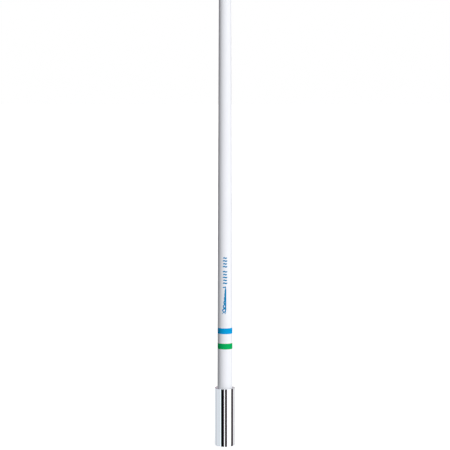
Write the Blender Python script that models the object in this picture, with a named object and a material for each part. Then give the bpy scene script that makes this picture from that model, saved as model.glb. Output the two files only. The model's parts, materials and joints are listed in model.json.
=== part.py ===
"""Marine VHF whip antenna, 8 ft class: a tapered fibreglass tube on a polished steel ferrule.

The ferrule's foot holds a 1 in - 14 threaded insert and, above the thread, a screw-on coax socket.
Inside the tube a coax feeds a sleeve dipole, and a phasing coil joins it to a half-wave rod above.
Lengths are in metres, +Z runs up the whip, and the origin is the centre of the ferrule's foot.
"""

import math

import bmesh
import bpy

INCH = 0.0254

# ---- driving dimensions ----
TOTAL_LENGTH = 96 * INCH
GAP = 0.0003  # between neighbours that touch on the real antenna
BROKEN_EDGE = 0.0003  # small chamfer on a machined corner

FERRULE_HEIGHT = 4 * INCH
FERRULE_RADIUS = 1.375 * INCH / 2
FERRULE_BORE = 0.0155
FERRULE_LIP = 0.0027  # thickness of the ring that closes the ferrule's top
FERRULE_ROUND = 0.0009
FERRULE_FOOT_ROUND = 0.0004

# The tube's outside, as (height, radius) from the foot to the tip.
TUBE_TAPER = ((0.054, 0.0132), (0.1016, 0.0130), (0.456, 0.01175), (2.155, 0.0042), (2.424, 0.0033))
TUBE_WALL_FOOT = 0.0030
TUBE_WALL_TIP = 0.0013
TUBE_FOOT = TUBE_TAPER[0][0]

GREEN_BAND = (0.1711, 0.1807)
BLUE_BAND = (0.1979, 0.2076)
BAND_LIFT = 0.00005
BAND_FILM = 0.00013

CAP_HEIGHT = 0.0158
CAP_SKIRT = 0.0072
CAP_SKIRT_RADIUS = 0.0046
CAP_NOSE_RADIUS = 0.0037
CAP_SOCKET = 0.0062  # how far the tube's tip stands in the cap
TUBE_TOP = TOTAL_LENGTH - CAP_HEIGHT + CAP_SOCKET

# 1 in - 14 mounting thread
MOUNT_PITCH = INCH / 14
MOUNT_MAJOR = 1.0 * INCH / 2
MOUNT_MINOR = 0.01178
MOUNT_THREAD = (0.0012, 0.0175)
INSERT_TOP = 0.0460
INSERT_RADIUS = FERRULE_BORE - GAP
INSERT_WALL_UNDER = 0.0400  # underside of the wall that carries the socket
INSERT_RELIEF = 0.01295

# coax socket with a 5/8 in - 24 barrel
BARREL_PITCH = INCH / 24
BARREL_MAJOR = 0.625 * INCH / 2
BARREL_MINOR = 0.0073
BARREL_FOOT = 0.0215
BARREL_TOP = 0.0365
SOCKET_STUB_RADIUS = 0.00635
SOCKET_STUB_TOP = 0.0515
FLANGE_RADIUS = 0.0092
WASHER_FOOT = INSERT_TOP + GAP
NUT_FOOT = WASHER_FOOT + 0.0011
NUT_TOP = NUT_FOOT + 0.0036
NUT_FLATS = 0.017

# feed coax, outside radii
JACKET = 0.0025
BRAID = 0.0018
DIELECTRIC = 0.0015
CONDUCTOR = 0.0005
LAYER_GAP = 0.0001
COAX_FEET = (0.0675, 0.0635, 0.0598, 0.0552)  # jacket, braid, dielectric, conductor: stripped one by one

# radiating elements for the 157 MHz marine band
QUARTER_WAVE = 0.458
SLEEVE_FOOT = 0.215
SLEEVE_RADIUS = 0.00635
SLEEVE_WALL = 0.0005
SLEEVE_TOP = SLEEVE_FOOT + QUARTER_WAVE
FEED_GAP = 0.017
RADIATOR_FOOT = SLEEVE_TOP + FEED_GAP
RADIATOR_RADIUS = 0.00475
RADIATOR_BORE = 0.00425
RADIATOR_TOP = RADIATOR_FOOT + QUARTER_WAVE
COIL_RADIUS = 0.0047
COIL_WIRE = 0.0008
COIL_TURNS = 8
COIL_SPAN = (0.016, 0.064)  # above the lower radiator's top
COIL_TAILS = (0.0030, 0.0770)
FORMER_RADIUS = 0.0035
ROD_RADIUS = 0.0016
ROD_FOOT = RADIATOR_TOP + 0.076
ROD_TOP = ROD_FOOT + 2 * QUARTER_WAVE

SPACER_HEIGHT = 0.014
SPACER_FEET = (0.115, 0.240, 0.440, 0.640, 0.740, 0.930, 1.120, 1.300, 1.500, 1.700, 1.900, 2.080)

# steps round a turned piece
FINE = 40
SEGMENTS = 32
THREADED = 28
MEDIUM = 24
SMALL = 20
COARSE = 16


# ---- materials ----
def material(name, colour, roughness, metallic=0.0):
    mat = bpy.data.materials.new(name)
    mat.use_nodes = True
    shader = mat.node_tree.nodes["Principled BSDF"]
    shader.inputs["Base Color"].default_value = (*colour, 1.0)
    shader.inputs["Roughness"].default_value = roughness
    shader.inputs["Metallic"].default_value = metallic
    mat.diffuse_color = (*colour, 1.0)
    return mat


def finish(obj, look):
    """Gives an object a material of its own, from a finish's colour, roughness and metallic value."""
    obj.data.materials.append(material(obj.name, *look))


STEEL = ((0.85, 0.86, 0.88), 0.05, 1.0)
NICKEL = ((0.72, 0.69, 0.62), 0.25, 1.0)
BRASS = ((0.75, 0.55, 0.24), 0.30, 1.0)
COPPER = ((0.80, 0.42, 0.27), 0.30, 1.0)
TIN = ((0.66, 0.66, 0.66), 0.40, 1.0)
SILVER = ((0.90, 0.89, 0.86), 0.20, 1.0)
GELCOAT = ((0.86, 0.87, 0.89), 0.25)
CAP_PLASTIC = ((0.84, 0.85, 0.86), 0.35)
PTFE = ((0.82, 0.82, 0.80), 0.45)
NYLON = ((0.75, 0.73, 0.66), 0.45)
EPOXY = ((0.62, 0.55, 0.36), 0.35)
PVC = ((0.02, 0.02, 0.02), 0.50)
FOAM = ((0.78, 0.78, 0.74), 0.90)
GREEN = ((0.0, 0.42, 0.11), 0.30)
BLUE = ((0.0, 0.335, 0.71), 0.30)


# ---- shapes ----
def new_object(name, bm, look, sharp_angle=30.0):
    """Turns a bmesh into a named object, smooth except along its sharp edges."""
    bmesh.ops.remove_doubles(bm, verts=bm.verts, dist=1e-7)
    bmesh.ops.recalc_face_normals(bm, faces=bm.faces)
    mesh = bpy.data.meshes.new(name)
    bm.to_mesh(mesh)
    bm.free()
    obj = bpy.data.objects.new(name, mesh)
    bpy.context.collection.objects.link(obj)
    mesh.shade_smooth()
    mesh.set_sharp_from_angle(angle=math.radians(sharp_angle))
    finish(obj, look)
    return obj


def turn(name, profile, look, segments=SEGMENTS):
    """Turns a closed outline of (radius, height) points about Z."""
    bm = bmesh.new()
    corners = [bm.verts.new((radius, 0.0, height)) for radius, height in profile]
    edges = [bm.edges.new((a, b)) for a, b in zip(corners, corners[1:] + corners[:1])]
    bmesh.ops.spin(
        bm,
        geom=corners + edges,
        axis=(0.0, 0.0, 1.0),
        cent=(0.0, 0.0, 0.0),
        angle=math.tau,
        steps=segments,
        use_merge=True,
    )
    # an outline edge that lies on the axis sweeps no area
    slivers = [face for face in bm.faces if face.calc_area() < 1e-13]
    bmesh.ops.delete(bm, geom=slivers, context="FACES_ONLY")
    return new_object(name, bm, look)


def ring(name, inner, outer, foot, top, look, segments=SEGMENTS):
    """A plain tube or washer."""
    outline = [(outer, foot), (outer, top), (inner, top), (inner, foot)]
    return turn(name, outline, look, segments)


def rod(name, radius, foot, top, look, segments=COARSE):
    """A solid bar with slightly broken end edges."""
    edge = radius * 0.2
    outline = [(0.0, foot), (radius - edge, foot), (radius, foot + edge)]
    outline += [(radius, top - edge), (radius - edge, top), (0.0, top)]
    return turn(name, outline, look, segments)


def corner_arc(centre, radius, start, end, steps=4):
    """Points on a rounded corner of an outline; the angles are in degrees."""
    points = []
    for i in range(steps + 1):
        angle = math.radians(start + (end - start) * i / steps)
        points.append((centre[0] + radius * math.cos(angle), centre[1] + radius * math.sin(angle)))
    return points


def cut_thread(obj, span, pitch, root, crest):
    """Moves a wall's points in and out along a helix between two radii, fading at both ends."""
    low, high = span
    for vertex in obj.data.vertices:
        x, y, z = vertex.co
        radius = math.hypot(x, y)
        if not low < z < high or abs(radius - root) > 1e-6:
            continue
        turns = z / pitch - math.atan2(y, x) / math.tau
        ridge = 1.0 - abs(2.0 * (turns % 1.0) - 1.0)
        height = min(1.0, max(0.0, 1.6 * ridge - 0.3))
        fade = min(1.0, (z - low) / pitch, (high - z) / pitch)
        scale = (root + (crest - root) * height * fade) / radius
        vertex.co = (x * scale, y * scale, z)


def thread_steps(radius, span, pitch, samples=4):
    """Evenly spaced outline points along a wall that will be threaded, from the foot up."""
    low, high = span
    count = round((high - low) / pitch * samples)
    return [(radius, low + (high - low) * i / count) for i in range(count + 1)]


# ---- the tube's own radii ----
def tube_outside(height):
    """Outer radius of the tube at a height."""
    for (z0, r0), (z1, r1) in zip(TUBE_TAPER, TUBE_TAPER[1:]):
        if height <= z1 or (z1, r1) == TUBE_TAPER[-1]:
            return r0 + (r1 - r0) * (height - z0) / (z1 - z0)


def tube_inside(height):
    """Inner radius: the wall thins evenly from the foot to the tip."""
    share = (height - TUBE_FOOT) / (TUBE_TOP - TUBE_FOOT)
    return tube_outside(height) - (TUBE_WALL_FOOT + (TUBE_WALL_TIP - TUBE_WALL_FOOT) * share)


def element_outside(height):
    """Outer radius of whatever runs up the middle of the tube at a height."""
    if height < SLEEVE_FOOT:
        return JACKET
    if height < SLEEVE_TOP:
        return SLEEVE_RADIUS
    if height < RADIATOR_TOP:
        return RADIATOR_RADIUS
    return ROD_RADIUS


# ---- foot: ferrule, insert, bond ----
def ferrule_sleeve():
    top = FERRULE_HEIGHT
    lip_bore = tube_outside(top - FERRULE_LIP) + GAP
    foot_round, top_round = FERRULE_FOOT_ROUND, FERRULE_ROUND
    outline = corner_arc((FERRULE_RADIUS - foot_round, foot_round), foot_round, -90, 0, 3)
    outline += corner_arc((FERRULE_RADIUS - top_round, top - top_round), top_round, 0, 90, 5)
    outline += [(lip_bore + BROKEN_EDGE, top), (lip_bore, top - BROKEN_EDGE), (lip_bore, top - FERRULE_LIP)]
    outline += [(FERRULE_BORE, top - FERRULE_LIP), (FERRULE_BORE, BROKEN_EDGE)]
    outline += [(FERRULE_BORE + BROKEN_EDGE, 0.0)]
    return turn("ferrule_sleeve", outline, STEEL, FINE)


def threaded_insert():
    hole = SOCKET_STUB_RADIUS + 0.00035
    low, high = MOUNT_THREAD
    outline = [(MOUNT_MAJOR + BROKEN_EDGE, 0.0), (INSERT_RADIUS - BROKEN_EDGE, 0.0)]
    outline += [(INSERT_RADIUS, BROKEN_EDGE), (INSERT_RADIUS, INSERT_TOP)]
    outline += [(hole, INSERT_TOP), (hole, INSERT_WALL_UNDER)]
    outline += [(INSERT_RELIEF, INSERT_WALL_UNDER), (INSERT_RELIEF, high + 0.001)]
    outline += reversed(thread_steps(MOUNT_MINOR, MOUNT_THREAD, MOUNT_PITCH))
    obj = turn("threaded_insert", outline, NICKEL, THREADED)
    cut_thread(obj, (low, high), MOUNT_PITCH, MOUNT_MINOR, MOUNT_MAJOR)
    return obj


def bond_collar():
    foot, top = TUBE_FOOT + 0.001, FERRULE_HEIGHT - FERRULE_LIP - GAP
    outer = FERRULE_BORE - GAP
    outline = [(outer, foot), (outer, top)]
    outline += [(tube_outside(top) + GAP, top), (tube_outside(foot) + GAP, foot)]
    return turn("bond_collar", outline, EPOXY)


# ---- coax socket ----
def socket_shell():
    span = (BARREL_FOOT + 0.0006, BARREL_TOP - 0.0010)
    bore, rear_bore = 0.0058, 0.0036
    outline = [(bore, BARREL_FOOT), (BARREL_MINOR - BROKEN_EDGE, BARREL_FOOT)]
    outline += thread_steps(BARREL_MINOR, span, BARREL_PITCH, 3)
    outline += [(BARREL_MINOR, BARREL_TOP), (FLANGE_RADIUS, BARREL_TOP)]
    outline += [(FLANGE_RADIUS, INSERT_WALL_UNDER - GAP), (SOCKET_STUB_RADIUS, INSERT_WALL_UNDER - GAP)]
    outline += [(SOCKET_STUB_RADIUS, SOCKET_STUB_TOP), (rear_bore, SOCKET_STUB_TOP)]
    outline += [(rear_bore, BARREL_TOP), (bore, BARREL_TOP)]
    obj = turn("socket_shell", outline, NICKEL, SMALL)
    cut_thread(obj, span, BARREL_PITCH, BARREL_MINOR, BARREL_MAJOR)
    return obj


def socket_dielectric():
    foot, shoulder, top = BARREL_FOOT + 0.0007, BARREL_TOP - GAP, SOCKET_STUB_TOP + 0.0015
    front, rear = 0.0055, 0.0033  # outer radii
    front_bore, rear_bore, bore_end = 0.00305, 0.0015, 0.0353
    outline = [(front_bore, foot), (front, foot), (front, shoulder), (rear, shoulder), (rear, top)]
    outline += [(rear_bore, top), (rear_bore, bore_end), (front_bore, bore_end)]
    return turn("socket_dielectric", outline, PTFE, SMALL)


def socket_contact():
    """Centre contact: a socket for the plug's pin in front, a solder cup behind."""
    foot, neck, cup, top = 0.0228, 0.0350, 0.0540, 0.0590
    front, front_bore, stem, rear, rear_bore = 0.00275, 0.0020, 0.0012, 0.0016, 0.0009  # radii
    front_floor, cup_floor = neck - 0.0010, cup + 0.0008
    outline = [(front_bore, foot), (front - BROKEN_EDGE, foot), (front, foot + BROKEN_EDGE)]
    outline += [(front, neck), (stem, neck), (stem, cup), (rear, cup), (rear, top)]
    outline += [(rear_bore, top), (rear_bore, cup_floor), (0.0, cup_floor)]
    outline += [(0.0, front_floor), (front_bore, front_floor)]
    return turn("socket_contact", outline, SILVER, COARSE)


def socket_nut():
    """Hexagon nut: a turned ring whose outer wall is drawn out to six flats."""
    inner, corner = SOCKET_STUB_RADIUS + GAP, NUT_FLATS / math.sqrt(3.0)
    outline = [(corner, NUT_FOOT), (corner, NUT_TOP), (inner, NUT_TOP), (inner, NUT_FOOT)]
    obj = turn("socket_nut", outline, NICKEL, MEDIUM)
    for vertex in obj.data.vertices:
        x, y, z = vertex.co
        if math.hypot(x, y) > corner - 1e-5:
            turned = (math.atan2(y, x) % (math.tau / 6)) - math.tau / 12
            scale = NUT_FLATS / 2 / math.cos(turned) / corner
            vertex.co = (x * scale, y * scale, z)
    obj.data.set_sharp_from_angle(angle=math.radians(30))
    return obj


def socket_lock_washer():
    """Toothed washer: every other point of its rim is pulled in."""
    teeth = 14
    inner, outer, root = SOCKET_STUB_RADIUS + GAP, 0.0094, 0.0081
    obj = ring("socket_lock_washer", inner, outer, WASHER_FOOT, WASHER_FOOT + 0.0008, TIN, 2 * teeth)
    for vertex in obj.data.vertices:
        x, y, z = vertex.co
        step = round(math.atan2(y, x) / math.tau * 2 * teeth)
        if math.hypot(x, y) > outer - 1e-5 and step % 2:
            vertex.co = (x * root / outer, y * root / outer, z)
    obj.data.set_sharp_from_angle(angle=math.radians(30))
    return obj


# ---- feed coax ----
def coax():
    jacket_foot, braid_foot, dielectric_foot, conductor_foot = COAX_FEET
    jacket_top, braid_top = SLEEVE_TOP - 0.011, SLEEVE_TOP - 0.001
    dielectric_top, conductor_top = RADIATOR_FOOT + 0.008, RADIATOR_FOOT + 0.015
    ring("coax_jacket", BRAID + LAYER_GAP, JACKET, jacket_foot, jacket_top, PVC, COARSE)
    ring("coax_braid", DIELECTRIC + LAYER_GAP, BRAID, braid_foot, braid_top, TIN, COARSE)
    inner = CONDUCTOR + LAYER_GAP
    ring("coax_dielectric", inner, DIELECTRIC, dielectric_foot, dielectric_top, PTFE, COARSE)
    rod("coax_conductor", CONDUCTOR, conductor_foot, conductor_top, COPPER)


# ---- radiating elements ----
def sleeve_dipole():
    bore = SLEEVE_RADIUS - SLEEVE_WALL
    ring_foot, ring_top = SLEEVE_TOP - 0.0050, SLEEVE_TOP - 0.0010
    ring("decoupling_sleeve", bore, SLEEVE_RADIUS, SLEEVE_FOOT, SLEEVE_TOP, BRASS, MEDIUM)
    ring("braid_ring", BRAID + GAP, bore - GAP, ring_foot, ring_top, TIN, MEDIUM)
    ring("lower_radiator", RADIATOR_BORE, RADIATOR_RADIUS, RADIATOR_FOOT, RADIATOR_TOP, BRASS, MEDIUM)


def feed_insulator():
    """Plug between the sleeve and the radiator, with a spigot that centres the radiator."""
    bore, spigot, body = DIELECTRIC + GAP, RADIATOR_BORE - GAP, 0.0060
    foot, shoulder, top = SLEEVE_TOP + GAP, RADIATOR_FOOT - GAP, RADIATOR_FOOT + 0.0075
    outline = [(bore, foot), (body, foot), (body, shoulder)]
    outline += [(spigot, shoulder), (spigot, top), (bore, top)]
    return turn("feed_insulator", outline, PTFE, MEDIUM)


def feed_plug():
    foot, height = RADIATOR_FOOT + 0.0095, 0.0060
    return ring("feed_plug", CONDUCTOR + GAP, RADIATOR_BORE - GAP, foot, foot + height, BRASS, MEDIUM)


def lower_coil_ferrule():
    """Brass end piece: a spigot in the radiator, a shoulder, and a stub that carries the former."""
    spigot, bore = RADIATOR_BORE - GAP, 0.0023
    foot, rim = RADIATOR_TOP - 0.0080, RADIATOR_TOP + GAP
    shoulder, bore_floor, top = RADIATOR_TOP + 0.0020, RADIATOR_TOP + 0.0050, RADIATOR_TOP + 0.0120
    outline = [(0.0, foot), (spigot, foot), (spigot, rim), (RADIATOR_RADIUS, rim)]
    outline += [(RADIATOR_RADIUS, shoulder), (FORMER_RADIUS, shoulder), (FORMER_RADIUS, top)]
    outline += [(bore, top), (bore, bore_floor), (0.0, bore_floor)]
    return turn("lower_coil_ferrule", outline, BRASS, COARSE)


def phasing_coil_former():
    """Nylon bar with a pin at each end that stands in the brass end pieces."""
    pin = 0.0020
    foot, body_foot = RADIATOR_TOP + 0.0055, RADIATOR_TOP + 0.0123
    body_top, top = RADIATOR_TOP + 0.0677, RADIATOR_TOP + 0.0740
    outline = [(0.0, foot), (pin, foot), (pin, body_foot), (FORMER_RADIUS, body_foot)]
    outline += [(FORMER_RADIUS, body_top), (pin, body_top), (pin, top), (0.0, top)]
    return turn("phasing_coil_former", outline, NYLON, COARSE)


def upper_coil_ferrule():
    """Brass end piece: the former's pin stands in its foot, the upper rod in its top."""
    pin_bore, rod_bore = 0.0023, ROD_RADIUS + GAP
    foot, bore_floor, top = RADIATOR_TOP + 0.0680, RADIATOR_TOP + 0.0745, RADIATOR_TOP + 0.0840
    outline = [(pin_bore, foot), (FORMER_RADIUS, foot), (FORMER_RADIUS, top)]
    outline += [(rod_bore, top), (rod_bore, bore_floor), (pin_bore, bore_floor)]
    return turn("upper_coil_ferrule", outline, BRASS, COARSE)


def phasing_coil():
    """Bare wire wound around the former, with straight tails beside the two brass end pieces."""
    low, high = COIL_SPAN
    steps_per_turn = 12
    steps = COIL_TURNS * steps_per_turn
    points = [(COIL_RADIUS, 0.0, RADIATOR_TOP + COIL_TAILS[0])]
    for i in range(steps + 1):
        angle = math.tau * i / steps_per_turn
        height = RADIATOR_TOP + low + (high - low) * i / steps
        points.append((COIL_RADIUS * math.cos(angle), COIL_RADIUS * math.sin(angle), height))
    points.append((COIL_RADIUS, 0.0, RADIATOR_TOP + COIL_TAILS[1]))
    curve = bpy.data.curves.new("phasing_coil", "CURVE")
    curve.dimensions = "3D"
    curve.bevel_depth = COIL_WIRE
    curve.bevel_resolution = 1
    curve.use_fill_caps = True
    spline = curve.splines.new("POLY")
    spline.points.add(len(points) - 1)
    for point, place in zip(spline.points, points):
        point.co = (*place, 1.0)
    obj = bpy.data.objects.new("phasing_coil", curve)
    bpy.context.collection.objects.link(obj)
    finish(obj, COPPER)
    return obj


def foam_spacers():
    """Foam rings that hold the elements on the tube's centre line."""
    for number, foot in enumerate(SPACER_FEET, 1):
        top = foot + SPACER_HEIGHT
        inner = element_outside(top) + GAP
        outline = [(inner, foot), (tube_inside(foot) - GAP, foot)]
        outline += [(tube_inside(top) - GAP, top), (inner, top)]
        turn(f"foam_spacer_{number:02d}", outline, FOAM, COARSE)


# ---- tube, bands and cap ----
def radome_tube():
    heights = [TUBE_FOOT] + [z for z, _ in TUBE_TAPER[1:-1]] + [TUBE_TOP]
    outline = [(tube_outside(z), z) for z in heights]
    outline += [(tube_inside(z), z) for z in reversed(heights)]
    return turn("radome_tube", outline, GELCOAT)


def band(name, span, look):
    """A thin film wrapped around the tube."""
    foot, top = span
    outline = [(tube_outside(z) + BAND_LIFT + BAND_FILM, z) for z in (foot, top)]
    outline += [(tube_outside(z) + BAND_LIFT, z) for z in (top, foot)]
    return turn(name, outline, look)


def end_cap():
    """Moulded cap: a skirt over the tube's tip, a slimmer rounded nose, and a stem in the tube's bore."""
    foot, top = TOTAL_LENGTH - CAP_HEIGHT, TOTAL_LENGTH
    skirt_top, roof, stem_foot = foot + CAP_SKIRT, TUBE_TOP + GAP, TUBE_TOP - 0.0050
    bore, stem = tube_outside(foot) + GAP, tube_inside(TUBE_TOP) - GAP
    foot_round, skirt_round, nose_round = 0.0005, 0.0006, 0.0022
    outline = [(bore + BROKEN_EDGE, foot)]
    outline += corner_arc((CAP_SKIRT_RADIUS - foot_round, foot + foot_round), foot_round, -90, 0, 3)
    outline += corner_arc((CAP_SKIRT_RADIUS - skirt_round, skirt_top - skirt_round), skirt_round, 0, 80, 3)
    outline += corner_arc((CAP_NOSE_RADIUS - nose_round, top - nose_round), nose_round, 0, 90, 6)
    outline += [(0.0, top), (0.0, stem_foot), (stem - BROKEN_EDGE, stem_foot)]
    outline += [(stem, stem_foot + BROKEN_EDGE), (stem, roof), (bore, roof), (bore, foot + BROKEN_EDGE)]
    return turn("end_cap", outline, CAP_PLASTIC)


def clear_scene():
    for obj in list(bpy.data.objects):
        bpy.data.objects.remove(obj)


def main():
    clear_scene()
    ferrule_sleeve()
    threaded_insert()
    bond_collar()
    socket_shell()
    socket_dielectric()
    socket_contact()
    socket_nut()
    socket_lock_washer()
    coax()
    sleeve_dipole()
    feed_insulator()
    feed_plug()
    lower_coil_ferrule()
    phasing_coil_former()
    phasing_coil()
    upper_coil_ferrule()
    rod("upper_radiator", ROD_RADIUS, ROD_FOOT, ROD_TOP, BRASS)
    foam_spacers()
    radome_tube()
    band("band_green", GREEN_BAND, GREEN)
    band("band_blue", BLUE_BAND, BLUE)
    end_cap()


main()
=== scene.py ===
"""Looks of the marine whip antenna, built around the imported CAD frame.

The shaft, the ferrule, the bands and the cap are turned again at a finer step from the frame's own
sizes, the blue print is laid on the shaft as thin ink, and every piece gets a procedural material.
Everything is in metres, in the frame's own axes: +Z runs up the whip and the print faces -Y.
"""

import json
import math

import bmesh
import bpy
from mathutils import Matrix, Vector


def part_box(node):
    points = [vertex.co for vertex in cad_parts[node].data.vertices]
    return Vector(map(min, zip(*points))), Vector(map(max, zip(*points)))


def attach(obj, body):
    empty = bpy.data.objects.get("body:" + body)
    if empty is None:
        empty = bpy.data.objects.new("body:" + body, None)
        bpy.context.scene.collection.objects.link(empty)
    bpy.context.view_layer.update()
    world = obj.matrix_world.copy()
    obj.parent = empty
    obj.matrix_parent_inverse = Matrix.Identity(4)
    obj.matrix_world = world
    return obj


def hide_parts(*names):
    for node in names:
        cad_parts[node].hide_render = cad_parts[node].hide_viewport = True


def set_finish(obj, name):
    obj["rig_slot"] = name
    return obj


MM = 0.001

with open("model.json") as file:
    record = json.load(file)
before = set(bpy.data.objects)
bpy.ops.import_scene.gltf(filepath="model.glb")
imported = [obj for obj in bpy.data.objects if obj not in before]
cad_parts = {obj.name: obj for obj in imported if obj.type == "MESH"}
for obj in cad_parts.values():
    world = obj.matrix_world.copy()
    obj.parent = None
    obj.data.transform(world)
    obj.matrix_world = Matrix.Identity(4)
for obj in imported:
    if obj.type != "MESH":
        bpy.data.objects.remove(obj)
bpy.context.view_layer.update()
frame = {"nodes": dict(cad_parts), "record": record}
record = frame["record"]

ROUND = 128  # steps round a visible turned piece
HIDDEN_ROUND = 64


# ---- sizes read from the frame ----
def rings_of(node):
    """The outer radius of a turned CAD node at each height where it has points."""
    widest = {}
    for vertex in frame["nodes"][node].data.vertices:
        height = round(vertex.co.z, 6)
        widest[height] = max(widest.get(height, 0.0), math.hypot(vertex.co.x, vertex.co.y))
    return sorted(widest.items())


TAPER = rings_of("radome_tube")
SKIN = 0.2 * MM  # gelcoat over the CAD tube's faceted wall


def shaft_radius(height):
    """Outer radius of the shaft's gelcoat at a height."""
    for (z0, r0), (z1, r1) in zip(TAPER, TAPER[1:]):
        if height <= z1:
            break
    return r0 + (r1 - r0) * (height - z0) / (z1 - z0) + SKIN


FERRULE_LOW, FERRULE_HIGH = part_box("ferrule_sleeve")
FERRULE_RADIUS = FERRULE_HIGH.x
FERRULE_TOP = FERRULE_HIGH.z
CAP_LOW, CAP_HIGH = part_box("end_cap")


# ---- shapes ----
def new_piece(name, bm, slot, *nodes, sharp=32.0):
    """Links a finished bmesh as a piece that rides on the root and stands for the named CAD nodes."""
    bmesh.ops.recalc_face_normals(bm, faces=bm.faces)
    mesh = bpy.data.meshes.new(name)
    bm.to_mesh(mesh)
    bm.free()
    mesh.shade_smooth()
    mesh.set_sharp_from_angle(angle=math.radians(sharp))
    piece = bpy.data.objects.new(name, mesh)
    bpy.context.scene.collection.objects.link(piece)
    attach(piece, "root")
    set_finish(piece, slot)
    if nodes:
        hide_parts(*nodes)
    return piece


def turned(outline, steps=ROUND):
    """A bmesh turned about Z from a closed outline of (radius, height) points; radius 0 makes a pole."""
    bm = bmesh.new()
    turn = [math.tau * i / steps for i in range(steps)]
    rings = []
    for radius, height in outline:
        ring = []
        for angle in turn[:1] if radius == 0.0 else turn:
            ring.append(bm.verts.new((radius * math.cos(angle), radius * math.sin(angle), height)))
        rings.append(ring)
    for one, other in zip(rings, rings[1:] + rings[:1]):
        if len(one) == len(other) == 1:
            continue
        for i in range(steps):
            j = (i + 1) % steps
            corners = [one[i % len(one)], one[j % len(one)], other[j % len(other)], other[i % len(other)]]
            bm.faces.new(list(dict.fromkeys(corners)))
    return bm


def arc(centre, radius, start, end, steps=6):
    """Points on a round corner of an outline; the angles are in degrees."""
    points = []
    for i in range(steps + 1):
        angle = math.radians(start + (end - start) * i / steps)
        points.append((centre[0] + radius * math.cos(angle), centre[1] + radius * math.sin(angle)))
    return points


def between(low, high, step):
    """Evenly spaced heights from low to high, about a step apart."""
    count = max(1, round((high - low) / step))
    return [low + (high - low) * i / count for i in range(count + 1)]


def ferrule():
    """Polished sleeve: finely rounded edges and a thin bright lip against the shaft."""
    top, foot = FERRULE_TOP, FERRULE_LOW.z
    edge = 0.2 * MM
    bore = 15.5 * MM
    lip_foot = top - 2.7 * MM
    lip_bore = shaft_radius(top) + 0.06 * MM
    outline = arc((FERRULE_RADIUS - edge, foot + edge), edge, -90, 0)
    outline += [(FERRULE_RADIUS, z) for z in between(foot + edge, top - edge, 8 * MM)[1:-1]]
    outline += arc((FERRULE_RADIUS - edge, top - edge), edge, 0, 90)
    outline += arc((lip_bore + 0.3 * MM, top - 0.3 * MM), 0.3 * MM, 90, 180, 4)
    outline += [(lip_bore, lip_foot), (bore, lip_foot), (bore, foot + 0.3 * MM), (bore + 0.3 * MM, foot)]
    return new_piece("ferrule", turned(outline), "polished_steel", "ferrule_sleeve")


def thread_wall(radius, low, high, pitch, samples=10):
    """Outline points up a wall that will be threaded."""
    return [(radius, z) for z in between(low, high, pitch / samples)]


def cut_thread(bm, low, high, pitch, root, crest):
    """Moves a wall's points in and out along a helix between two radii, fading at both ends."""
    for vertex in bm.verts:
        x, y, z = vertex.co
        radius = math.hypot(x, y)
        if low < z < high and abs(radius - root) < 1e-6:
            turns = z / pitch - math.atan2(y, x) / math.tau
            ridge = 1.0 - abs(2.0 * (turns % 1.0) - 1.0)
            height = min(1.0, max(0.0, 1.6 * ridge - 0.3))
            fade = min(1.0, (z - low) / pitch, (high - z) / pitch)
            scale = (root + (crest - root) * height * fade) / radius
            vertex.co = (x * scale, y * scale, z)


def insert():
    """The foot's threaded insert with its 1 in - 14 thread, relief and socket wall."""
    low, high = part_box("threaded_insert")
    outer, chamfer, minor, major, relief = high.x, 0.3 * MM, 11.78 * MM, 12.7 * MM, 12.95 * MM
    thread_low, thread_high, pitch = 1.2 * MM, 17.5 * MM, 25.4 * MM / 14
    wall, hole = 40.0 * MM, 6.7 * MM
    outline = [(major + chamfer, low.z), (outer - chamfer, low.z), (outer, low.z + chamfer)]
    outline += [(outer, high.z), (hole, high.z), (hole, wall), (relief, wall)]
    outline.append((relief, thread_high + 1 * MM))
    outline += reversed(thread_wall(minor, thread_low, thread_high, pitch))
    bm = turned(outline)
    cut_thread(bm, thread_low, thread_high, pitch, minor, major)
    return new_piece("insert", bm, "nickel_plated_brass", "threaded_insert", sharp=40.0)


def socket():
    """The coax socket's shell with its 5/8 in - 24 barrel, flange and stub."""
    low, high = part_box("socket_shell")
    bore, rear_bore, lip, minor, major = 5.8 * MM, 3.6 * MM, 7.0 * MM, 7.3 * MM, 7.9375 * MM
    thread_low, thread_high, pitch = low.z + 0.6 * MM, 35.5 * MM, 25.4 * MM / 24
    shoulder, flange_top, flange, stub = 36.5 * MM, 39.7 * MM, 9.2 * MM, 6.35 * MM
    outline = [(bore, low.z), (lip, low.z)]
    outline += thread_wall(minor, thread_low, thread_high, pitch)
    outline += [(minor, shoulder), (flange, shoulder), (flange, flange_top), (stub, flange_top)]
    outline += [(stub, high.z), (rear_bore, high.z), (rear_bore, shoulder), (bore, shoulder)]
    bm = turned(outline, HIDDEN_ROUND)
    cut_thread(bm, thread_low, thread_high, pitch, minor, major)
    return new_piece("socket", bm, "nickel_plated_brass", "socket_shell", sharp=40.0)


def shaft():
    """The tapered tube, with rings close enough for an even taper."""
    low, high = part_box("radome_tube")
    foot_wall, tip_wall = 2.9 * MM, 1.3 * MM
    heights = between(low.z, high.z, 20 * MM)
    outline = [(shaft_radius(z), z) for z in heights]
    for z in reversed(heights):
        share = (z - low.z) / (high.z - low.z)
        outline.append((shaft_radius(z) - foot_wall - (tip_wall - foot_wall) * share, z))
    return new_piece("shaft", turned(outline), "white_gelcoat", "radome_tube")


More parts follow.
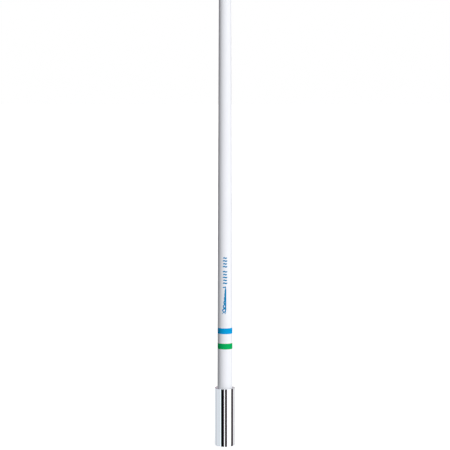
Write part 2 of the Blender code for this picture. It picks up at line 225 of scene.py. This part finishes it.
def band(name, node, slot):
    """A colour band as thin ink with soft edges, sunk a little into the shaft's surface."""
    film, sunk, edge, spill = 0.07 * MM, 0.03 * MM, 0.15 * MM, 0.25 * MM
    foot, top = (corner.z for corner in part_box(node))
    foot, top = foot - spill, top + spill
    outline = [(shaft_radius(foot) - sunk, foot), (shaft_radius(foot) + film * 0.5, foot + edge * 0.3)]
    outline += [(shaft_radius(z) + film, z) for z in between(foot + edge, top - edge, 2 * MM)]
    outline += [(shaft_radius(top) + film * 0.5, top - edge * 0.3), (shaft_radius(top) - sunk, top)]
    return new_piece(name, turned(outline), slot, node, sharp=80.0)


def cap():
    """Moulded tip cap: a skirt over the shaft's end and a slimmer rounded nose."""
    foot, top = CAP_LOW.z, CAP_HIGH.z
    skirt = CAP_HIGH.x
    nose = 3.7 * MM
    skirt_top = foot + 7.2 * MM
    bore = shaft_radius(foot) + 0.12 * MM
    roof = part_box("radome_tube")[1].z + 0.3 * MM
    outline = [(bore + 0.2 * MM, foot)]
    outline += arc((skirt - 0.5 * MM, foot + 0.5 * MM), 0.5 * MM, -90, 0)
    outline += arc((skirt - 0.6 * MM, skirt_top - 0.6 * MM), 0.6 * MM, 0, 80)
    outline += arc((nose + 0.35 * MM, skirt_top + 0.35 * MM), 0.35 * MM, -100, -180, 4)
    outline += arc((nose - 2.2 * MM, top - 2.2 * MM), 2.2 * MM, 0, 90, 12)
    outline += [(0.0, top), (0.0, roof), (bore, roof), (bore, foot + 0.2 * MM)]
    return new_piece("cap", turned(outline, HIDDEN_ROUND), "white_cap_plastic", "end_cap")


def stroke(bm, points, width, film=0.05 * MM):
    """One thin closed line of ink on the shaft, tapering at its ends.

    Its points are (side, height), with the side measured round the shaft from the front towards +X.
    """
    sunk, last = 0.03 * MM, len(points) - 1
    rows = []
    for number, (side, height) in enumerate(points):
        before, after = points[max(0, number - 1)], points[min(last, number + 1)]
        run, rise = after[0] - before[0], after[1] - before[1]
        half = 0.5 * width * min(1.0, 0.3 + 5.0 * min(number, last - number) / last)
        over, down = half * rise / math.hypot(run, rise), half * run / math.hypot(run, rise)
        row = []
        for share, lift in ((-1, film), (0, film), (1, film), (1, -sunk), (-1, -sunk)):
            z = height - share * down
            radius = shaft_radius(z)
            angle = (side + share * over) / radius
            reach = radius + lift
            row.append(bm.verts.new((reach * math.sin(angle), -reach * math.cos(angle), z)))
        rows.append(row)
    for one, other in zip(rows, rows[1:]):
        for i, j in zip(range(-1, 4), range(5)):
            bm.faces.new((one[i], one[j], other[j], other[i]))
    bm.faces.new(rows[0])
    bm.faces.new(rows[-1])


def mast_and_swell():
    """Bold mark: a mast line with two waves braided beside it, higher towards the foot, and a yard."""
    bm = bmesh.new()
    low, high, mast, waves = 0.2325, 0.2812, 1.0 * MM, 3.5
    stroke(bm, [(mast, z) for z in between(low + 2 * MM, high, 2 * MM)], 2.4 * MM)
    for turn, film in ((1.0, 0.06 * MM), (-1.0, 0.07 * MM)):
        points = []
        for z in between(low, high - 3 * MM, 0.5 * MM):
            share = (high - z) / (high - low)
            reach = (0.3 + 2.9 * share**1.8) * MM
            points.append((mast - reach * (1.0 - turn * math.cos(math.tau * waves * share)), z))
        stroke(bm, points, 2.0 * MM, film)
    yard = [(side, high - 1.4 * MM + 0.2 * side) for side in between(-4.0 * MM, 1.8 * MM, 0.5 * MM)]
    stroke(bm, yard, 2.0 * MM, 0.06 * MM)
    return new_piece("print_swell", bm, "blue_film", sharp=80.0)


def wavelets():
    """Light marks above the bold one: two rows of small slanted waves, long and short by turns."""
    bm = bmesh.new()
    pitch, lean, swing, steps = 5.0 * MM, 1.8 * MM, 0.9 * MM, 16
    for start, count in ((0.2858, 5), (0.3145, 4)):
        for number in range(count):
            reach = 3.9 * MM if number % 2 == 0 else 3.2 * MM
            points = []
            for i in range(steps + 1):
                along = i / steps
                rise = lean * along + swing * math.sin(math.tau * along)
                points.append((reach * (2.0 * along - 1.0), start + pitch * number + rise))
            stroke(bm, points, 2.3 * MM)
    return new_piece("print_wavelets", bm, "blue_film", sharp=80.0)


# ---- material nodes ----
class Look:
    """A Principled material with a few helpers for procedural detail in the frame's metres."""

    def __init__(self, name, colour, roughness, metallic=0.0, **sockets):
        self.material = bpy.data.materials.new(name)
        self.material.use_nodes = True
        self.tree = self.material.node_tree
        self.shader = self.tree.nodes["Principled BSDF"]
        self.colour, self.roughness = colour, roughness
        self.shader.inputs["Base Color"].default_value = (*colour, 1.0)
        self.shader.inputs["Roughness"].default_value = roughness
        self.shader.inputs["Metallic"].default_value = metallic
        for socket, value in sockets.items():
            self.shader.inputs[socket.replace("_", " ")].default_value = value
        self.place = self.tree.nodes.new("ShaderNodeTexCoord").outputs["Object"]

    def add(self, kind, **values):
        node = self.tree.nodes.new(kind)
        for key, value in values.items():
            setattr(node, key, value)
        return node

    def join(self, source, target):
        self.tree.links.new(source, target)

    def stretched(self, x, y, z):
        node = self.add("ShaderNodeMapping")
        node.inputs["Scale"].default_value = (x, y, z)
        self.join(self.place, node.inputs["Vector"])
        return node.outputs["Vector"]

    def noise(self, x, y, z, detail=4.0, rough=0.55):
        node = self.add("ShaderNodeTexNoise")
        node.inputs["Scale"].default_value = 1.0
        node.inputs["Detail"].default_value = detail
        node.inputs["Roughness"].default_value = rough
        self.join(self.stretched(x, y, z), node.inputs["Vector"])
        return node.outputs["Fac"]

    def spread(self, fac, low, high):
        node = self.add("ShaderNodeMapRange")
        node.inputs["From Min"].default_value = 0.3
        node.inputs["From Max"].default_value = 0.7
        node.inputs["To Min"].default_value = low
        node.inputs["To Max"].default_value = high
        self.join(fac, node.inputs["Value"])
        return node.outputs["Result"]

    def vary_colour(self, fac, other):
        """Runs the colour from this look's own to another one along fac."""
        node = self.add("ShaderNodeMix", data_type="RGBA")
        node.inputs["A"].default_value = (*self.colour, 1.0)
        node.inputs["B"].default_value = (*other, 1.0)
        self.join(fac, node.inputs["Factor"])
        self.join(node.outputs["Result"], self.shader.inputs["Base Color"])

    def vary_roughness(self, fac, low, high):
        self.join(self.spread(fac, low, high), self.shader.inputs["Roughness"])

    def bump(self, height, strength, distance):
        node = self.add("ShaderNodeBump")
        node.inputs["Strength"].default_value = strength
        node.inputs["Distance"].default_value = distance
        self.join(height, node.inputs["Height"])
        self.join(node.outputs["Normal"], self.shader.inputs["Normal"])


def scaled(colour, *factors):
    """A colour with its channels multiplied, kept under 1."""
    factors = factors * 3 if len(factors) == 1 else factors
    return tuple(min(1.0, channel * factor) for channel, factor in zip(colour, factors))


def gelcoat(colour):
    """Smooth white gelcoat, satin rather than glossy, with a faint lengthwise glass grain."""
    look = Look("gelcoat", colour, 0.3, Specular_IOR_Level=0.1)
    grain = look.noise(1400, 1400, 18, 3.0)
    cloud = look.noise(35, 35, 9, 3.0)
    look.vary_colour(look.spread(cloud, 0.0, 0.6), scaled(colour, 0.985, 0.985, 0.975))
    look.vary_roughness(grain, 0.24, 0.34)
    look.bump(grain, 0.12, 0.00003)
    return look


def cap_plastic(colour):
    """Moulded white plastic, a little softer and more matt than the shaft."""
    look = Look("cap_plastic", colour, 0.4, Specular_IOR_Level=0.15)
    pores = look.noise(2600, 2600, 2600, 5.0)
    look.vary_colour(look.spread(look.noise(300, 300, 300), 0.0, 1.0), scaled(colour, 0.97, 0.97, 0.96))
    look.vary_roughness(pores, 0.34, 0.48)
    look.bump(pores, 0.15, 0.00004)
    return look


def polished_steel(colour):
    """Mirror-polished sleeve with fine polishing lines round it and a few faint handling marks."""
    look = Look("polished_steel", colour, 0.03, 1.0)
    lines = look.noise(60, 60, 5200, 4.0)
    marks = look.noise(240, 240, 160, 6.0, 0.7)
    look.vary_colour(look.spread(marks, 0.0, 1.0), scaled(colour, 0.97, 0.975, 0.985))
    look.vary_roughness(marks, 0.02, 0.055)
    look.bump(lines, 0.02, 0.00001)
    return look


def print_film(name, colour):
    """Printed colour: dense, even and nearly matt, with a slight mottle."""
    look = Look(name, colour, 0.5, Specular_IOR_Level=0.03)
    mottle = look.noise(900, 900, 900, 4.0)
    look.vary_colour(look.spread(mottle, 0.0, 1.0), scaled(colour, 0.94))
    look.vary_roughness(mottle, 0.45, 0.6)
    look.bump(mottle, 0.05, 0.00002)
    return look


def plain_metal(name, colour, roughness, grain):
    """Turned or drawn metal: grain is how the tool marks are stretched in x, y and z."""
    look = Look(name, colour, roughness, 1.0)
    marks = look.noise(*grain, 4.0)
    tarnish = look.noise(180, 180, 90, 5.0)
    look.vary_colour(look.spread(tarnish, 0.0, 1.0), scaled(colour, 0.86, 0.82, 0.78))
    look.vary_roughness(marks, roughness * 0.8, roughness * 1.3)
    look.bump(marks, 0.08, 0.00003)
    return look


def soft_plastic(name, colour, roughness, grain=1500):
    """Plain moulded or extruded plastic with a fine surface."""
    look = Look(name, colour, roughness)
    pores = look.noise(grain, grain, grain, 4.0)
    look.vary_colour(look.spread(look.noise(150, 150, 150), 0.0, 1.0), scaled(colour, 0.9))
    look.vary_roughness(pores, roughness * 0.9, roughness * 1.15)
    look.bump(pores, 0.1, 0.00005)
    return look


def foam(colour):
    """Closed-cell foam: packed cells of about a millimetre."""
    look = Look("foam", colour, 0.9)
    cells = look.add("ShaderNodeTexVoronoi")
    cells.inputs["Scale"].default_value = 900.0
    look.join(look.place, cells.inputs["Vector"])
    look.vary_colour(cells.outputs["Distance"], scaled(colour, 0.82))
    look.bump(cells.outputs["Distance"], 0.5, 0.0003)
    return look


def finishes():
    """One look for each of the record's material slots, in the record's own colours."""
    colours = {m["slot"]: tuple(m["base_color"][:3]) for m in record["materials"]}
    turned_grain, drawn_grain = (80, 80, 3600), (2600, 2600, 30)
    looks = {
        "polished_steel": polished_steel(colours["polished_steel"]),
        "white_gelcoat": gelcoat(scaled(colours["white_gelcoat"], 0.985, 0.99, 1.025)),
        "white_cap_plastic": cap_plastic(colours["white_cap_plastic"]),
        "green_film": print_film("green_film", colours["green_film"]),
        "blue_film": print_film("blue_film", colours["blue_film"]),
        "print_ink": print_film("print_ink", scaled(colours["blue_film"], 1.0, 0.71, 0.72)),
        "foam": foam(colours["foam"]),
    }
    for slot, roughness, grain in (
        ("nickel_plated_brass", 0.22, turned_grain),
        ("brass", 0.30, drawn_grain),
        ("copper", 0.30, drawn_grain),
        ("tinned_metal", 0.42, turned_grain),
        ("silver_plate", 0.18, turned_grain),
    ):
        looks[slot] = plain_metal(slot, colours[slot], roughness, grain)
    for slot, roughness in (("ptfe", 0.5), ("nylon", 0.45), ("epoxy", 0.3), ("black_pvc", 0.5)):
        looks[slot] = soft_plastic(slot, colours[slot], roughness)
    return looks


def paint(pieces):
    """Gives each new piece and each CAD node the look of its material slot."""
    looks = finishes()
    slot_of = {part["node"]: part["material_slot"] for part in record["subparts"]}
    for node, obj in frame["nodes"].items():
        obj.data.materials.clear()
        obj.data.materials.append(looks[slot_of[node]].material)
    for piece in pieces:
        look = "print_ink" if piece.name.startswith("print") else piece["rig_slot"]
        piece.data.materials.append(looks[look].material)


# ---- stage ----
def seen_by(obj, camera=False, diffuse=False, glossy=False, shadow=False):
    """Chooses which rays meet a stage object."""
    obj.visible_camera = camera
    obj.visible_diffuse = diffuse
    obj.visible_glossy = glossy
    obj.visible_shadow = shadow
    obj.visible_transmission = False
    obj.visible_volume_scatter = False


def stage_object(name, bm, material):
    """Links a finished bmesh as a piece of the stage, which isn't part of the antenna."""
    mesh = bpy.data.meshes.new(name)
    bm.to_mesh(mesh)
    bm.free()
    mesh.materials.append(material)
    obj = bpy.data.objects.new(name, mesh)
    bpy.context.scene.collection.objects.link(obj)
    return obj


def glow(name, value, tint=(1.0, 1.0, 1.0)):
    """An even light-giving surface."""
    material = bpy.data.materials.new(name)
    material.use_nodes = True
    tree = material.node_tree
    tree.nodes.clear()
    light = tree.nodes.new("ShaderNodeEmission")
    light.inputs["Color"].default_value = (*tint, 1.0)
    light.inputs["Strength"].default_value = value
    out = tree.nodes.new("ShaderNodeOutputMaterial")
    tree.links.new(light.outputs["Emission"], out.inputs["Surface"])
    return material


def floor():
    """A pale floor, lit by the studio light and lifted by a painted glow that is strongest seen at a low
    angle: it meets the backdrop without a line, and is a little greyer seen from above.
    """
    material = bpy.data.materials.new("floor")
    material.use_nodes = True
    tree = material.node_tree
    shader = tree.nodes["Principled BSDF"]
    slope = tree.nodes.new("ShaderNodeLayerWeight")
    slope.inputs["Blend"].default_value = 0.5
    # Painted glow: the floor gives off light of its own, more of it the lower the angle it is seen at,
    # standing in for its reflection of the white backdrop.
    painted_glow = tree.nodes.new("ShaderNodeMapRange")
    painted_glow.inputs["From Min"].default_value = 0.62
    painted_glow.inputs["From Max"].default_value = 0.76
    painted_glow.inputs["To Min"].default_value = 0.05
    painted_glow.inputs["To Max"].default_value = 0.45
    tree.links.new(slope.outputs["Facing"], painted_glow.inputs["Value"])
    tree.links.new(painted_glow.outputs["Result"], shader.inputs["Emission Strength"])
    shader.inputs["Base Color"].default_value = (0.93, 0.93, 0.93, 1.0)
    shader.inputs["Roughness"].default_value = 0.9
    shader.inputs["Specular IOR Level"].default_value = 0.0
    shader.inputs["Emission Color"].default_value = (1.0, 1.0, 1.0, 1.0)
    bm = bmesh.new()
    bmesh.ops.create_grid(bm, x_segments=1, y_segments=1, size=60.0)
    obj = stage_object("floor", bm, material)
    seen_by(obj, camera=True)


def backdrop():
    """A white surround behind everything."""
    bm = bmesh.new()
    bmesh.ops.create_uvsphere(bm, u_segments=32, v_segments=16, radius=80.0)
    obj = stage_object("backdrop", bm, glow("backdrop", 1.0))
    seen_by(obj, camera=True)


# What polished metal mirrors, as (start, end, brightness, tint): degrees round the stage from the
# front, towards +X. White paper with dark strips of cloth hung between.
TINTS = {
    "white": (1.0, 1.0, 1.0),
    "sky": (0.93, 0.98, 1.03),
    "teal": (0.62, 1.14, 0.98),
    "plum": (1.28, 0.74, 1.12),
    "olive": (1.05, 1.05, 0.85),
}
LOW_CARDS = (
    (-180, -131, 0.80, "sky"),
    (-131, -109, 0.74, "sky"),
    (-109, -75, 0.87, "sky"),
    (-75, -61, 0.80, "sky"),
    (-61, -47.5, 1.20, "sky"),
    (-47.5, -39, 0.13, "teal"),
    (-39, -22, 0.0, "white"),
    (-22, -9.5, 0.035, "plum"),
    (-9.5, -1, 1.55, "white"),
    (-1, 11, 0.015, "olive"),
    (11, 23.5, 0.045, "plum"),
    (23.5, 75, 1.30, "white"),
    (75, 90, 0.06, "olive"),
    (90, 108, 0.05, "plum"),
    (108, 134, 0.98, "white"),
    (134, 180, 0.80, "white"),
)
HIGH_CARDS = (
    (-180, -100, 0.20, "plum"),
    (-100, -61, 0.60, "sky"),
    (-61, 75, 1.30, "white"),
    (75, 179.45, 0.55, "white"),
    (179.45, 180, 1.30, "white"),
)
CARD_REACH = 2.5
CARD_SPLIT = 0.06  # height where the high cards take over from the low ones


def cards(level, low, high, strips):
    """Curved upright cards all round, met by mirror rays only."""
    for start, end, value, tint in strips:
        bm = bmesh.new()
        columns = []
        for angle in between(math.radians(start), math.radians(end), math.radians(4)):
            x, y = CARD_REACH * math.sin(angle), -CARD_REACH * math.cos(angle)
            columns.append([bm.verts.new((x, y, z)) for z in (low, high)])
        for one, other in zip(columns, columns[1:]):
            bm.faces.new((one[0], other[0], other[1], one[1]))
        name = f"card_{level}_{round(start) + 180:03d}"
        seen_by(stage_object(name, bm, glow(name, value, TINTS[tint])), glossy=True)


# Soft light on the antenna, as (angle, brightness) round the stage; it runs evenly from one to the next.
SKY = (
    (-180, 1.7),
    (-152, 1.7),
    (-144, 0.0),
    (-42, 0.0),
    (-3, 1.1),
    (15, 2.2),
    (30, 2.2),
    (60, 0.4),
    (80, 0.4),
    (110, 1.1),
    (122, 1.1),
    (130, 0.0),
    (144, 0.0),
    (152, 1.7),
    (180, 1.7),
)


def sky():
    """Studio light that depends only on the direction round the antenna, not on the height."""
    world = bpy.data.worlds.new("sky")
    bpy.context.scene.world = world
    world.use_nodes = True
    tree = world.node_tree
    background = tree.nodes["Background"]
    direction = tree.nodes.new("ShaderNodeTexCoord")
    split = tree.nodes.new("ShaderNodeSeparateXYZ")
    back = tree.nodes.new("ShaderNodeMath")
    back.operation = "MULTIPLY"
    back.inputs[1].default_value = -1.0
    angle = tree.nodes.new("ShaderNodeMath")
    angle.operation = "ARCTAN2"
    share = tree.nodes.new("ShaderNodeMapRange")
    share.inputs["From Min"].default_value = -math.pi
    share.inputs["From Max"].default_value = math.pi
    ramp = tree.nodes.new("ShaderNodeValToRGB")
    stops = ramp.color_ramp.elements
    for degrees, _ in SKY[1:-1]:
        stops.new((degrees + 180) / 360)
    peak = max(value for _, value in SKY)
    for stop, (_, value) in zip(stops, SKY):
        stop.color = (value / peak, value / peak, value / peak, 1.0)
    tree.links.new(direction.outputs["Generated"], split.inputs["Vector"])
    tree.links.new(split.outputs["Y"], back.inputs[0])
    tree.links.new(split.outputs["X"], angle.inputs[0])
    tree.links.new(back.outputs["Value"], angle.inputs[1])
    tree.links.new(angle.outputs["Value"], share.inputs["Value"])
    tree.links.new(share.outputs["Result"], ramp.inputs["Fac"])
    tree.links.new(ramp.outputs["Color"], background.inputs["Color"])
    background.inputs["Strength"].default_value = peak
    world.cycles_visibility.camera = False
    world.cycles_visibility.glossy = False


# ---- camera ----
CAMERA_DISTANCE = 2.6
CAMERA_HEIGHT = 0.62
AIM_HEIGHT = 0.3867
FRAME_WIDTH = 0.779  # width of the picture at the antenna


def camera():
    """A long lens from the front, a little above the aim."""
    data = bpy.data.cameras.new("camera")
    data.sensor_width = 36.0
    place = Vector((0.0, -CAMERA_DISTANCE, CAMERA_HEIGHT))
    aim = Vector((0.0, 0.0, AIM_HEIGHT))
    data.lens = data.sensor_width * (aim - place).length / FRAME_WIDTH
    data.clip_end = 500.0
    obj = bpy.data.objects.new("camera", data)
    obj.location = place
    obj.rotation_mode = "QUATERNION"
    obj.rotation_quaternion = (aim - place).to_track_quat("-Z", "Y")
    bpy.context.scene.collection.objects.link(obj)
    bpy.context.scene.camera = obj


def picture_tones():
    """Plain tones, so that white stays white."""
    view = bpy.context.scene.view_settings
    view.view_transform = "Standard"
    view.look = "None"
    view.exposure = 0.0
    view.gamma = 1.0


paint(
    [
        ferrule(),
        insert(),
        socket(),
        shaft(),
        band("green_band", "band_green", "green_film"),
        band("blue_band", "band_blue", "blue_film"),
        mast_and_swell(),
        wavelets(),
        cap(),
    ]
)
floor()
backdrop()
cards("low", -6.0, CARD_SPLIT, LOW_CARDS)
cards("high", CARD_SPLIT, 9.0, HIGH_CARDS)
sky()
camera()
picture_tones()
